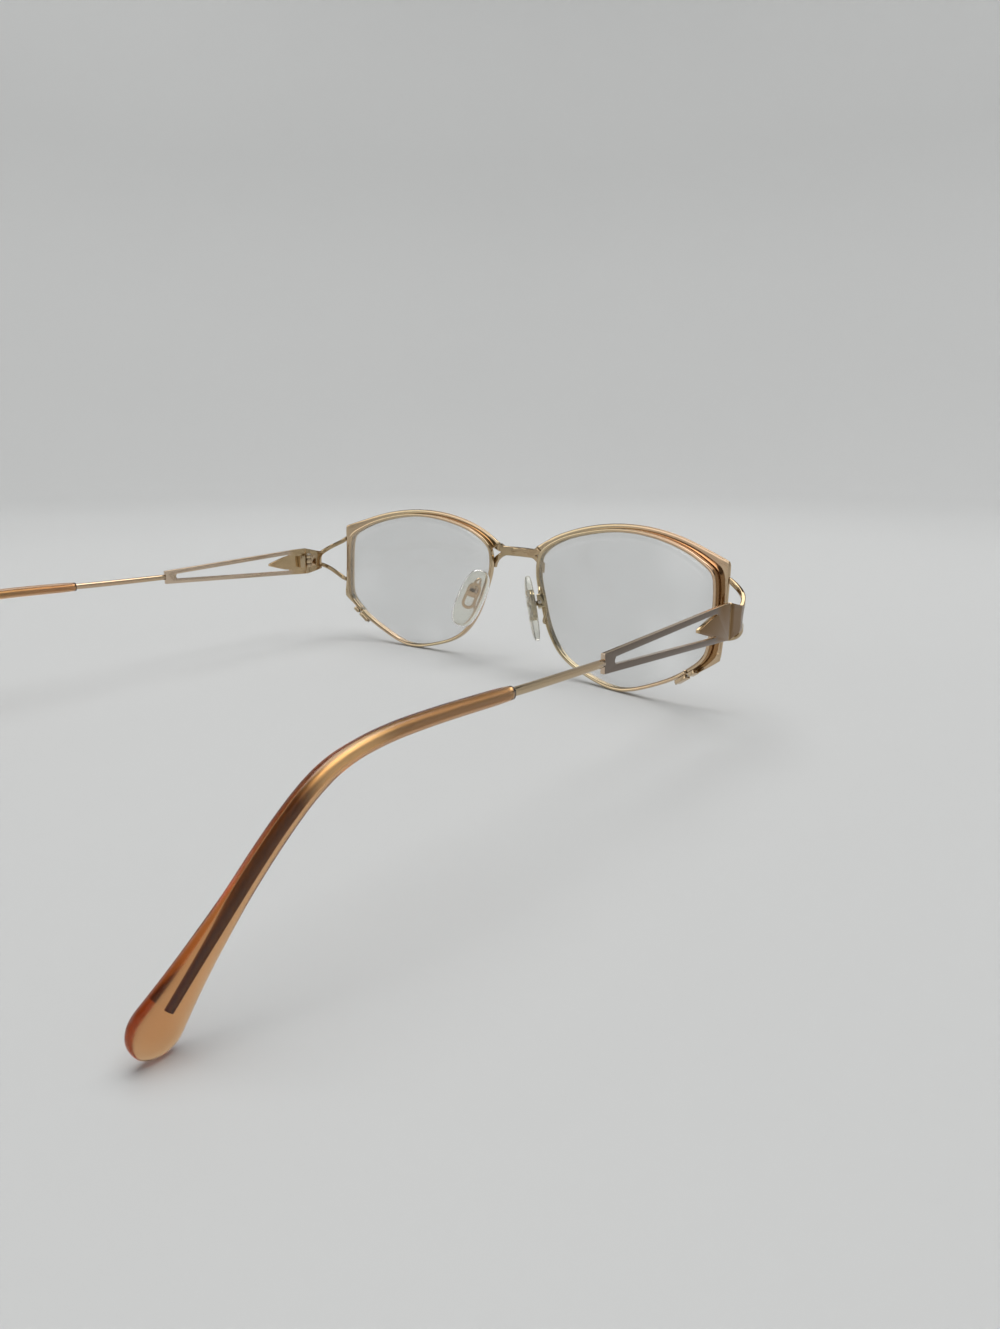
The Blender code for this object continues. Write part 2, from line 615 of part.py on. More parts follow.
def bridge_outline():
    """The left half of the bridge as (x, z): a bar that parts into two branches."""
    inner, outer = brow_rails()
    seam = (outer[0] - inner[0]).normalized()
    clear = (inner[0] - inner[1]).normalized() * BRAZE_GAP
    join_top = front_point(*(outer[0] + clear), TRIM_MIDDLE).xz
    join_low = front_point(*(inner[0] + clear + seam * (EYEWIRE_WIDTH - TRIM_LAP)),
                           TRIM_MIDDLE).xz
    brow_way = (join_top - front_point(*outer[1], TRIM_MIDDLE).xz).normalized()
    middle = LENS_CENTRE.z + BRIDGE_RISE
    bar_top = Vector((BRIDGE_HALF, middle + BRIDGE_BAR / 2))
    bar_low = Vector((BRIDGE_HALF, middle - BRIDGE_BAR / 2))
    crotch = Vector((BRIDGE_HALF + BRIDGE_CROTCH, middle - BRIDGE_CROTCH_DROP))
    window_edge, window_lap, foot_lap, foot_edge = [
        front_point(*rim_point(knot, reach), TRIM_MIDDLE).xz for knot, reach in (
            (BRIDGE_WINDOW_KNOT, EYEWIRE_WIDTH), (BRIDGE_WINDOW_KNOT + BRIDGE_WINDOW_SLANT, TRIM_LAP),
            (BRIDGE_FOOT_KNOT, TRIM_LAP), (BRIDGE_FOOT_KNOT, EYEWIRE_WIDTH))]
    level = Vector((BRIDGE_BEND, 0))
    upper = bezier(bar_top, bar_top + level, join_top + brow_way * BRIDGE_BEND, join_top,
                   BRIDGE_STEPS)
    rise = (window_edge - foot_edge).normalized() * BRIDGE_BEND
    lower = bezier(foot_edge, foot_edge + rise, bar_low + level, bar_low, BRIDGE_STEPS)
    return upper + [join_low, crotch, window_edge, window_lap, foot_lap] + lower


def make_bridge():
    """A flat bar with branches to the trims and the eyewires, bowed forward in the middle."""
    half = bridge_outline()
    loop = half + [Vector((-point.x, point.y)) for point in reversed(half)]
    flat = plate([loop], BRIDGE_THICKNESS, TRIM_EDGE, Matrix.Identity(4))
    shape = bmesh.new()
    shape.from_mesh(flat)
    bow_end = BRIDGE_HALF + BRIDGE_CROTCH + BRIDGE_BEND / 2
    for cut in range(BRIDGE_BOW_CUTS + 1):
        share = 2 * cut / BRIDGE_BOW_CUTS - 1
        bmesh.ops.bisect_plane(shape, geom=shape.verts[:] + shape.edges[:] + shape.faces[:],
                               plane_co=(share * bow_end, 0, 0), plane_no=(1, 0, 0))
    for vert in shape.verts:
        x, z, depth = vert.co
        reach = min(abs(x) / bow_end, 1.0)
        forward = TRIM_BACK + BRIDGE_THICKNESS / 2 - depth
        seat = front_place(max(abs(x), bow_end), z, forward)
        vert.co = (x, seat.y - BRIDGE_BOW * (1 - reach**2), z)
    add_object("bridge", mesh_from_bmesh(shape), GOLD)


# Endpieces and hinges

def prong(root_v, lead, trail, end):
    """A bent strip from the edge of the trim to the plate, turning from facing forward to out."""
    root = front_point(STRIP_EDGE + BRAZE_GAP, root_v, TRIM_MIDDLE)
    path = bezier(root, root + Vector(lead), end + Vector(trail), end, PRONG_STEPS)
    sections = []
    for index, point in enumerate(path):
        share = index / PRONG_STEPS
        ahead = path[min(index + 1, PRONG_STEPS)] - path[max(index - 1, 0)]
        tangent = ahead.normalized()
        thin = (LENS_AXIS_N * (1 - share) + Vector((1, 0, 0)) * share)
        if index == 0:
            tangent = LENS_AXIS_U
        thin = (thin - tangent * thin.dot(tangent)).normalized()
        wide = tangent.cross(thin)
        half_wide = PRONG_WIDTH / 2
        half_thin = PRONG_THICKNESS / 2
        bevel = TRIM_EDGE
        corners = [(-half_wide, half_thin - bevel), (-half_wide, bevel - half_thin),
                   (bevel - half_wide, -half_thin), (half_wide - bevel, -half_thin),
                   (half_wide, bevel - half_thin), (half_wide, half_thin - bevel),
                   (half_wide - bevel, half_thin), (bevel - half_wide, half_thin)]
        sections.append([point + wide * w + thin * t for w, t in corners])
    return loft(sections)


def temple_point(y, z):
    """The point of the temple plane at a distance behind the seam and above the temple line."""
    return Vector((PLATE_X, SEAM_Y + y, TEMPLE_LINE + z))


def temple_place():
    """Local x runs back along the temple, local y up and local z outward, from the seam."""
    return frame_matrix(temple_point(0, 0), (0, 1, 0), (0, 0, 1), (1, 0, 0))


def make_endpiece():
    """The plate that carries the hinge, with the two prongs that reach it from the trim."""
    loop = [(0, SEAM_TOP), (-FORK_LENGTH, FORK_TOP), (-FORK_LENGTH + FORK_HOLLOW, 0),
            (-FORK_LENGTH + FORK_SLANT, -FORK_BOTTOM),
            (-FORK_SHOULDER, -SEAM_BOTTOM + FORK_SLANT / 2), (0, -SEAM_BOTTOM)]
    mesh = plate([loop], PLATE_THICKNESS, PLATE_EDGE, temple_place())
    seat_y = SEAM_Y - FORK_LENGTH + PRONG_EMBED
    upper_end = Vector((PLATE_X, seat_y, TEMPLE_LINE + UPPER_SEAT))
    lower_end = Vector((PLATE_X, seat_y, TEMPLE_LINE - LOWER_SEAT))
    for root_v, lead, trail, end in (
            (UPPER_ROOT, UPPER_LEAD, UPPER_TRAIL, upper_end),
            (LOWER_ROOT, LOWER_LEAD, LOWER_TRAIL, lower_end)):
        mesh = combine(mesh, prong(root_v, lead, trail, end), "UNION")
    add_pair("endpiece", weld(mesh), GOLD)


def hinge_leaf(direction, thickness, levels):
    """A pad on the plate and the barrels at some levels, each with its bore round the axis."""
    pad_out = HINGE_OFFSET - BRAZE_GAP
    pad_in = pad_out - thickness
    near = BARREL_RADIUS + RUNNING_GAP
    y_ends = sorted((direction * near, direction * LEAF_END))
    half = HINGE_HEIGHT / 2
    place = Matrix.Translation(HINGE_AXIS)
    leaf = block((pad_in, y_ends[0], -half), (pad_out, y_ends[1], half), place)
    for low, high in levels:
        web_ends = sorted((0, direction * (near + RUNNING_GAP)))
        web = block((pad_out - FRONT_LEAF_THICKNESS, web_ends[0], low),
                    (pad_out - WEB_INSET, web_ends[1], high), place)
        barrel = cylinder(BARREL_RADIUS, high - low,
                          place @ Matrix.Translation((0, 0, low)))
        leaf = combine(leaf, web, "UNION")
        leaf = combine(leaf, barrel, "UNION")
    bore = cylinder(BARREL_BORE, HINGE_HEIGHT * 2,
                    place @ Matrix.Translation((0, 0, -HINGE_HEIGHT)))
    return weld(combine(leaf, bore, "DIFFERENCE"))


def slotted_screw(shaft_radius, length, head_radius, head_height, place):
    """A screw along local z with its head on top, cut by a driver slot."""
    head = cylinder(head_radius, head_height, Matrix.Translation((0, 0, length)), HEAD_SIDES)
    shaft = cylinder(shaft_radius, length + head_height / 4, sides=FINE_SIDES)
    screw = combine(head, shaft, "UNION")
    slot = block((-head_radius * 2, -SLOT_WIDTH / 2, length + head_height / 2),
                 (head_radius * 2, SLOT_WIDTH / 2, length + head_height * 2))
    screw = weld(combine(screw, slot, "DIFFERENCE"))
    screw.transform(place)
    return screw


def make_hinges():
    """The two leaves with their barrels, and the screw down through them."""
    half = HINGE_HEIGHT / 2
    front_levels = ((-half, -half + BARREL_HEIGHT), (half - BARREL_HEIGHT, half))
    inner = half - BARREL_HEIGHT - RUNNING_GAP
    add_pair("front_hinge", hinge_leaf(-1, FRONT_LEAF_THICKNESS, front_levels), GOLD)
    add_pair("temple_hinge", hinge_leaf(1, TEMPLE_LEAF_THICKNESS, ((-inner, inner),)), GOLD,
             HINGE_AXIS)
    place = Matrix.Translation(HINGE_AXIS - Vector((0, 0, half + BRAZE_GAP)))
    add_pair("hinge_screw",
             slotted_screw(HINGE_SCREW_RADIUS, HINGE_HEIGHT + 2 * BRAZE_GAP, HINGE_HEAD_RADIUS,
                           HINGE_HEAD_HEIGHT, place), STEEL)


# Temples

def upper_edge(y):
    share = max(y - OPENWORK_SHOULDER, 0) / (OPENWORK_LENGTH - OPENWORK_SHOULDER)
    return SEAM_TOP + (REAR_TOP - SEAM_TOP) * share


def lower_edge(y):
    return -SEAM_BOTTOM + (SEAM_BOTTOM - REAR_BOTTOM) * y / OPENWORK_LENGTH


def make_temple_plate():
    """The stamped openwork: two bars that close on a junction, and a tab between them."""
    start = RUNNING_GAP
    outer = [(start, upper_edge(start)), (OPENWORK_SHOULDER, upper_edge(OPENWORK_SHOULDER)),
             (OPENWORK_LENGTH, upper_edge(OPENWORK_LENGTH)),
             (OPENWORK_LENGTH, lower_edge(OPENWORK_LENGTH)), (start, lower_edge(start))]
    rear = OPENWORK_LENGTH - JUNCTION_LENGTH
    tab_tip = NOTCH_START + TAB_LENGTH
    notch_top = upper_edge(NOTCH_START) - BAR_WIDTH
    notch_low = lower_edge(NOTCH_START) + BAR_WIDTH
    window = [(rear - TAB_ROUND, upper_edge(rear) - BAR_WIDTH),
              (NOTCH_START, notch_top),
              (NOTCH_START + NOTCH_ROUND[0], notch_top - NOTCH_ROUND[1])]
    for share in TAB_SHARES:
        window.append((NOTCH_START + TAB_LENGTH * share[0], notch_top * share[1]))
    window += [(tab_tip - TAB_BLUNT, TAB_ROUND), (tab_tip, 0.0),
               (tab_tip - TAB_BLUNT, -TAB_ROUND)]
    for share in reversed(TAB_SHARES):
        window.append((NOTCH_START + TAB_LENGTH * share[0], notch_low * share[1]))
    window += [(NOTCH_START + NOTCH_ROUND[0], notch_low + NOTCH_ROUND[1]),
               (NOTCH_START, notch_low),
               (rear - TAB_ROUND, lower_edge(rear) + BAR_WIDTH),
               (rear, (upper_edge(rear) + lower_edge(rear)) / 2)]
    mesh = plate([outer, window], PLATE_THICKNESS, PLATE_EDGE, temple_place())
    add_pair("temple_plate", mesh, GOLD, HINGE_AXIS)


def temple_path():
    """The temple's centre line from the openwork to its end, as (behind the seam, height)."""
    knots = [(y * MM, z * MM) for y, z in TEMPLE_RUN]
    return smooth_path(knots, TEMPLE_STEPS)


def lengths_along(path):
    total = [0.0]
    for before, after in zip(path, path[1:]):
        total.append(total[-1] + (after - before).length)
    return total


def tip_stations():
    """Centre, direction, half height and half thickness along the plastic tip."""
    path = [point for point in temple_path() if point.x >= SLEEVE_START - 0.01 * MM]
    runs = lengths_along(path)
    stations = []
    for index, point in enumerate(path):
        share = runs[index] / runs[-1]
        ahead = path[min(index + 1, len(path) - 1)] - path[max(index - 1, 0)]
        tall = share_value(TIP_HEIGHTS, share) * MM / 2
        thick = (TIP_THICKNESS_FRONT + (TIP_THICKNESS_REAR - TIP_THICKNESS_FRONT) * share) / 2
        stations.append((point, ahead.normalized(), tall, thick))
    point, way, tall, thick = stations[-1]
    for step in range(1, TIP_ROUND_STEPS + 1):
        turn = math.pi / 2 * step / (TIP_ROUND_STEPS + 0.5)
        thinned = TIP_END_THIN + (1 - TIP_END_THIN) * math.cos(turn)
        stations.append((point + way * tall * TIP_END_SHARE * math.sin(turn), way,
                         tall * math.cos(turn), thick * thinned))
    return stations


def settled(stations):
    """The stations with the bent end raised or lowered so that its lowest point meets z = 0."""
    lowest = min(TEMPLE_LINE + point.y - tall * abs(way.x) for point, way, tall, _ in stations)
    begin = stations[0][0].x
    reach = stations[-1][0].x - begin
    moved = []
    for point, way, tall, thick in stations:
        share = (point.x - begin) / reach
        moved.append((point - Vector((0, lowest * share**3)), way, tall, thick))
    return moved


def make_temple_wire_and_tip():
    """The wire runs from the openwork through the plastic tip, which has a blind bore for it."""
    stations = settled(tip_stations())
    sections = []
    for point, way, tall, thick in stations:
        centre = temple_point(*point)
        up = Vector((0, -way.y, way.x))
        ring = []
        for side in range(TIP_SIDES):
            turn = 2 * math.pi * side / TIP_SIDES
            across = math.copysign(abs(math.cos(turn))**TIP_SQUARENESS, math.cos(turn))
            rise = math.copysign(abs(math.sin(turn))**TIP_SQUARENESS, math.sin(turn))
            ring.append(centre + Vector((thick * across, 0, 0)) + up * tall * rise)
        sections.append(ring)
    tip = loft(sections)
    runs = lengths_along([station[0] for station in stations])
    lead_in = [point for point in temple_path()
               if OPENWORK_LENGTH + BRAZE_GAP < point.x < SLEEVE_START - 2 * RUNNING_GAP]
    core = [station[0] for station, run in zip(stations, runs) if run < runs[-1] - CORE_SHY]
    start = Vector((OPENWORK_LENGTH + BRAZE_GAP, temple_path()[0].y))
    shoulder = Vector((SLEEVE_START - BRAZE_GAP, stations[0][0].y))
    neck = Vector((SLEEVE_START, stations[0][0].y))
    route = [start] + lead_in + [shoulder, neck] + core[1:]
    radii = [WIRE_RADIUS] * (len(lead_in) + 2) + [CORE_RADIUS] * len(core)
    add_pair("temple_wire", wire([temple_point(*point) for point in route], radii), GOLD,
             HINGE_AXIS)
    end_way = (core[-1] - core[-2]).normalized()
    bore_route = [neck - Vector((RUNNING_GAP, 0))] + core + [core[-1] + end_way * RUNNING_GAP]
    bore = wire([temple_point(*point) for point in bore_route],
                [CORE_RADIUS + BRAZE_GAP] * len(bore_route))
    add_pair("temple_tip", weld(combine(tip, bore, "DIFFERENCE")), AMBER, HINGE_AXIS)


# Nose pads

def bridge_point(place):
    """A point out from the inner end of the lens, behind the front and above the lens centre."""
    return Vector((BRIDGE_WIDTH / 2, 0, LENS_CENTRE.z)) + Vector(place)


def pad_place():
    """The pad's frame at its screw: local x across the pad, y up along it, z to the nose."""
    up = Vector((-math.sin(PAD_FLARE), -math.sin(PAD_LEAN), 0))
    up.z = math.sqrt(1 - up.length_squared)
    nose = Vector((-math.cos(PAD_SPLAY), math.sin(PAD_SPLAY), 0))
    nose = (nose - up * nose.dot(up)).normalized()
    across = up.cross(nose)
    pivot = bridge_point(PAD_PLACE) - nose * PIVOT_REACH + up * PIVOT_UP
    return frame_matrix(pivot, across, up, nose)


def insert_loops(grow):
    """The outline of the metal insert and of the window in it, as a rounded plate."""
    loops = []
    for shrink in ((0.0,) if grow else (0.0, INSERT_RIM)):
        half_x = INSERT_WIDTH / 2 - shrink + grow
        half_y = INSERT_LENGTH / 2 - shrink + grow
        straight = half_y - half_x
        loop = []
        for step in range(HEAD_SIDES):
            turn = 2 * math.pi * (step + 0.5) / HEAD_SIDES
            shift = straight if math.sin(turn) > 0 else -straight
            loop.append((half_x * math.cos(turn), shift + half_x * math.sin(turn)))
        loops.append(loop)
    return loops


def make_pads():
    """The clear pad, its metal insert with a lug, the box that holds the lug, and the screw."""
    place = pad_place()
    pivot = place.translation
    middle = Matrix.Translation((0, -PIVOT_UP, PIVOT_REACH))
    shape = bmesh.new()
    bmesh.ops.create_uvsphere(shape, u_segments=18, v_segments=9, radius=1.0)
    for vert in shape.verts:
        bulge = PAD_FRONT_BULGE if vert.co.z > 0 else PAD_BACK_BULGE
        x, y, z = [math.copysign(abs(share)**power, share)
                   for share, power in zip(vert.co, PAD_SQUARENESS)]
        vert.co = (x * PAD_WIDTH / 2, y * PAD_LENGTH / 2, z * bulge)
    pad = mesh_from_bmesh(shape)
    pad.transform(place @ middle)
    seat = place @ Matrix.Translation((0, -PIVOT_UP * (1 - INSERT_CENTRING), PIVOT_REACH))
    grown = plate(insert_loops(BRAZE_GAP), INSERT_THICKNESS + 2 * BRAZE_GAP, INSERT_EDGE, seat)
    lug_half = LUG_THICKNESS / 2
    stem_y = LUG_RADIUS - PLATE_EDGE
    stem_top = PIVOT_REACH - INSERT_THICKNESS / 4
    throat = block((-lug_half - BRAZE_GAP, -LUG_RADIUS - BRAZE_GAP, 0),
                   (lug_half + BRAZE_GAP, LUG_RADIUS + BRAZE_GAP, PIVOT_REACH), place)
    pad = combine(pad, combine(grown, throat, "UNION"), "DIFFERENCE")
    add_pair("nose_pad", weld(pad), CLEAR_PAD, pivot)

    insert = plate(insert_loops(0.0), INSERT_THICKNESS, INSERT_EDGE, seat)
    stem = block((-lug_half, -stem_y, 0), (lug_half, stem_y, stem_top), place)
    across = place @ Matrix.Rotation(math.pi / 2, 4, "Y")
    lug = cylinder(LUG_RADIUS, LUG_THICKNESS, across @ Matrix.Translation((0, 0, -lug_half)))
    bar_x = (INSERT_WIDTH - INSERT_RIM) / 2
    bar_z = (INSERT_THICKNESS - PLATE_EDGE) / 2
    cross_bar = block((-bar_x, -LUG_RADIUS, PIVOT_REACH - bar_z),
                      (bar_x, LUG_RADIUS, PIVOT_REACH + bar_z), place)
    insert = combine(insert, cross_bar, "UNION")
    insert = combine(insert, stem, "UNION")
    insert = combine(insert, lug, "UNION")
    hole = cylinder(LUG_BORE, LUG_THICKNESS * 3,
                    across @ Matrix.Translation((0, 0, -LUG_THICKNESS * 1.5)), FINE_SIDES)
    add_pair("pad_insert", weld(combine(insert, hole, "DIFFERENCE")), GOLD, pivot)

    inner_x = lug_half + RUNNING_GAP
    outer_x = inner_x + BOX_WALL
    box = block((-outer_x, -BOX_BOTTOM, -BOX_BACK), (outer_x, BOX_TOP, BOX_FRONT), place,
                BLOCK_EDGE)
    reach = LUG_RADIUS + RUNNING_GAP
    pocket = block((-inner_x, -reach, -reach), (inner_x, reach, BOX_FRONT * 3), place)
    box = combine(box, pocket, "DIFFERENCE")
    through = cylinder(PAD_SCREW_RADIUS + BRAZE_GAP, outer_x * 4,
                       across @ Matrix.Translation((0, 0, -outer_x * 2)), FINE_SIDES)
    add_pair("pad_box", weld(combine(box, through, "DIFFERENCE")), GOLD)

    screw_place = across @ Matrix.Rotation(math.pi, 4, "Y") @ Matrix.Translation((0, 0, -outer_x))
    add_pair("pad_screw",
             slotted_screw(PAD_SCREW_RADIUS, 2 * outer_x + BRAZE_GAP, PAD_HEAD_RADIUS,
                           PAD_HEAD_HEIGHT, screw_place), STEEL)
    make_pad_arm(place)


def make_pad_arm(place):
    """A wire that rises from the back of the eyewire, past the box, and bends down onto it."""
    behind = -EYEWIRE_DEPTH / 2 - BRAZE_GAP
    root = [front_point(*rim_point(ARM_KNOT, EYEWIRE_WIDTH / 2), behind - step)
            for step in (0, ARM_SETBACK)]
    bends = [bridge_point(ARM_WAIST), bridge_point(ARM_CREST)]
    seat = (BOX_FRONT - BOX_BACK) / 2
    neck = [place @ Vector((0, BOX_TOP + BRAZE_GAP + step, seat)) for step in (ARM_NECK, 0)]
    path = smooth_path(root + bends + neck, ARM_STEPS)
    add_pair("pad_arm", wire(path, [ARM_RADIUS] * len(path)), GOLD)


# Closing blocks

def make_closing_blocks():
    """Two half blocks on the eyewire, one each side of its gap, and the screw that joins them."""
    along = Vector((-NORMALS[0].y, NORMALS[0].x))
    here, x_axis, y_axis, z_axis = front_frame(*OUTLINE[0], along)
    place = frame_matrix(here, x_axis, y_axis, z_axis)
    low_r = EYEWIRE_WIDTH + BRAZE_GAP
    high_r = low_r + BLOCK_HEIGHT
    front = BLOCK_SET - BLOCK_DEPTH / 2
    back = BLOCK_SET + BLOCK_DEPTH / 2
    screw_r = (low_r + high_r) / 2
    gap = BLOCK_PARTING / 2
    along_wire = place @ Matrix.Translation((0, screw_r, BLOCK_SET))
    along_wire = along_wire @ Matrix.Rotation(-math.pi / 2, 4, "Y")
    for name, start, end in (("upper", gap, gap + BLOCK_UPPER),
                             ("lower", -gap - BLOCK_LOWER, -gap)):
        half = block((start, low_r, front), (end, high_r, back), place, BLOCK_EDGE)
        bore = cylinder(BLOCK_BORE, BLOCK_LOWER * 4,
                        along_wire @ Matrix.Translation((0, 0, -BLOCK_LOWER * 2)), FINE_SIDES)
        add_pair("closing_block_" + name, weld(combine(half, bore, "DIFFERENCE")), GOLD)
    head = BRAZE_GAP + gap + BLOCK_LOWER
    tail = gap + BLOCK_UPPER
    screw = slotted_screw(BLOCK_SCREW_RADIUS, head + tail, BLOCK_HEAD_RADIUS, BLOCK_HEAD_HEIGHT,
                          along_wire @ Matrix.Translation((0, 0, -tail)))
    add_pair("closing_screw", screw, STEEL)


def centre_on_origin():
    """Move every piece along y so that the middle of the glasses' box is at y = 0."""
    bpy.context.view_layer.update()
    ends = [(piece.matrix_world @ vert.co).y for piece in PARTS.objects
            for vert in piece.data.vertices]
    shift = -(min(ends) + max(ends)) / 2
    for piece in PARTS.objects:
        piece.location.y += shift


def build():
    make_eyewire()
    make_lens()
    make_brow_trim()
    make_bridge()
    make_endpiece()
    make_hinges()
    make_temple_plate()
    make_temple_wire_and_tip()
    make_pads()
    make_closing_blocks()
    centre_on_origin()


clear_scene()
PARTS = new_collection("cat_eye_eyeglasses")
CUTTERS = new_collection("cutters")
build()
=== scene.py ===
"""Looks of the cat-eye eyeglasses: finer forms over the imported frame, materials, light, camera.

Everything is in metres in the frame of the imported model: the wearer looks along -Y, +X is the
wearer's left and +Z is up. MM turns the millimetres written here into metres. Colours are
linear RGB, and the scales of noise are per metre.
"""
import json
import math

import bmesh
import bpy
from mathutils import Matrix, Vector


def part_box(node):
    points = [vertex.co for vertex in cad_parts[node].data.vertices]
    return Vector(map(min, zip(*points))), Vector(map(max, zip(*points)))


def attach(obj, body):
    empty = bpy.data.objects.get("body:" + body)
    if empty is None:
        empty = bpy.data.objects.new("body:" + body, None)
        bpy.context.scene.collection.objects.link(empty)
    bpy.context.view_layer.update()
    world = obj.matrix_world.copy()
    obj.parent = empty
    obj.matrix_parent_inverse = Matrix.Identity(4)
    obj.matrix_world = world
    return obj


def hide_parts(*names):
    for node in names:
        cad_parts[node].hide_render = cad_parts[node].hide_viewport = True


MM = 0.001
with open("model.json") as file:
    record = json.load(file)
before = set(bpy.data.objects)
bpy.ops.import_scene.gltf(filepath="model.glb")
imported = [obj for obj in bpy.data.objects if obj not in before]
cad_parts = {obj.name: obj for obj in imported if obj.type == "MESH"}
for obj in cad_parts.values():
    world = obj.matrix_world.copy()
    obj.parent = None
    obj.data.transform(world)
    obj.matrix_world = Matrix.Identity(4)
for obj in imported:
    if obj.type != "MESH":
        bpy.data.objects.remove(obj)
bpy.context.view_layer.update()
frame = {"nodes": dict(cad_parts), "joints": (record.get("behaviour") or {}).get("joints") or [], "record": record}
NODES = frame["nodes"]
SIDES = ("left", "right")


# What the frame says

def body_of(node):
    """The CAD body that a node belongs to."""
    for body, members in frame["record"]["behaviour"]["bodies"].items():
        if node in members:
            return body
    raise KeyError(node)


def joint_place(name):
    """Where a joint of the record turns, at rest."""
    return Vector(next(joint["pos_m"] for joint in frame["joints"] if joint["name"] == name))


# Camera: the photographer stands behind the wearer's right shoulder

CAMERA_PLACE = (-142.1 * MM, 102.2 * MM, 59.8 * MM)
CAMERA_YAW = math.radians(40.43)        # from -Y towards +X
CAMERA_PITCH = math.radians(15.05)      # down from level
CAMERA_ROLL = math.radians(-0.17)
CAMERA_LENS = 22.48                     # millimetres, as Blender's cameras take it
CAMERA_NEAR = 0.005
CAMERA_FAR = 20.0


def make_camera():
    """The camera that looks along its yaw and pitch."""
    data = bpy.data.cameras.new("camera")
    data.lens = CAMERA_LENS
    data.clip_start = CAMERA_NEAR
    data.clip_end = CAMERA_FAR
    camera = bpy.data.objects.new("camera", data)
    level = math.cos(CAMERA_PITCH)
    look = Vector((math.sin(CAMERA_YAW) * level, -math.cos(CAMERA_YAW) * level,
                   -math.sin(CAMERA_PITCH)))
    right = look.cross(Vector((0, 0, 1))).normalized()
    up = right.cross(look)
    turn = Matrix((right, up, -look)).transposed().to_4x4()
    camera.matrix_world = (Matrix.Translation(CAMERA_PLACE) @ turn
                           @ Matrix.Rotation(CAMERA_ROLL, 4, "Z"))
    bpy.context.scene.collection.objects.link(camera)
    bpy.context.scene.camera = camera


# Shader nodes

NOISE_RANGE = (0.3, 0.7)        # nearly all of a noise texture's values lie between these


def shader_graph(name, **sockets):
    """A material with a Principled shader, its node tree and that shader."""
    material = bpy.data.materials.new(name)
    material.use_nodes = True
    tree = material.node_tree
    shader = tree.nodes["Principled BSDF"]
    for socket, value in sockets.items():
        shader.inputs[socket.replace("_", " ")].default_value = value
    return material, tree, shader


def source_of(shader, socket):
    """The output that feeds a socket of the shader."""
    return shader.inputs[socket].links[0].from_socket


def noise(tree, scale, detail=3.0, stretch=(1.0, 1.0, 1.0)):
    """Noise in the object's own metres; stretch squeezes it along the axes."""
    place = tree.nodes.new("ShaderNodeTexCoord")
    mapping = tree.nodes.new("ShaderNodeMapping")
    mapping.inputs["Scale"].default_value = stretch
    texture = tree.nodes.new("ShaderNodeTexNoise")
    texture.inputs["Scale"].default_value = scale
    texture.inputs["Detail"].default_value = detail
    tree.links.new(place.outputs["Object"], mapping.inputs["Vector"])
    tree.links.new(mapping.outputs["Vector"], texture.inputs["Vector"])
    return texture.outputs["Fac"]


def ramp(tree, source, stops):
    """A colour ramp from (place, colour) stops."""
    node = tree.nodes.new("ShaderNodeValToRGB")
    elements = node.color_ramp.elements
    while len(elements) < len(stops):
        elements.new(0.5)
    for element, (place, colour) in zip(elements, stops):
        element.position = place
        element.color = (*colour, 1.0)
    tree.links.new(source, node.inputs["Fac"])
    return node.outputs["Color"]


def mapped(tree, source, limits, start, end, interpolation="LINEAR"):
    """A value that goes from start to end while the source goes through its limits."""
    node = tree.nodes.new("ShaderNodeMapRange")
    node.interpolation_type = interpolation
    names = ("From Min", "From Max", "To Min", "To Max")
    for name, number in zip(names, (*limits, start, end)):
        node.inputs[name].default_value = number
    tree.links.new(source, node.inputs["Value"])
    return node.outputs["Result"]


def spread(tree, noise_value, low, high):
    """A value between low and high that follows a noise."""
    return mapped(tree, noise_value, NOISE_RANGE, low, high)


def within(tree, value, zone, start=0.0, end=1.0):
    """A value that goes smoothly from start to end across a zone of the value given."""
    return mapped(tree, value, zone, start, end, "SMOOTHSTEP")


def bump(tree, shader, source, strength, distance):
    """Relief on the shader that follows the source."""
    node = tree.nodes.new("ShaderNodeBump")
    node.inputs["Strength"].default_value = strength
    node.inputs["Distance"].default_value = distance
    tree.links.new(source, node.inputs["Height"])
    tree.links.new(node.outputs["Normal"], shader.inputs["Normal"])


def calculated(tree, operation, *values):
    """One Math node; each value is a socket or a number."""
    node = tree.nodes.new("ShaderNodeMath")
    node.operation = operation
    for socket, value in zip(node.inputs, values):
        if isinstance(value, float):
            socket.default_value = value
        else:
            tree.links.new(value, socket)
    return node.outputs["Value"]


def mixed(tree, factor, first, second):
    """Colour that goes from the first to the second; either is a socket or a plain colour."""
    node = tree.nodes.new("ShaderNodeMix")
    node.data_type = "RGBA"
    tree.links.new(factor, node.inputs["Factor"])
    first_socket, second_socket = (socket for socket in node.inputs
                                   if socket.type == "RGBA" and socket.name in ("A", "B"))
    for socket, colour in ((first_socket, first), (second_socket, second)):
        if isinstance(colour, tuple):
            socket.default_value = (*colour, 1.0)
        else:
            tree.links.new(colour, socket)
    return next(socket for socket in node.outputs if socket.type == "RGBA")


def coordinates(tree):
    """X, Y and Z in the object's own metres, which at rest are the frame's."""
    place = tree.nodes.new("ShaderNodeTexCoord")
    parts = tree.nodes.new("ShaderNodeSeparateXYZ")
    tree.links.new(place.outputs["Object"], parts.inputs["Vector"])
    return [parts.outputs[axis] for axis in "XYZ"]


# Plated metal

DRIFT_SCALE = 28.0          # of the slow change of colour
POLISH_SCALE = 700.0        # of the patches that shine more or less
GRAIN_SCALE = 2600.0        # of the drawn grain
GRAIN_STRENGTH = 0.04
GRAIN_HEIGHT = 0.01 * MM

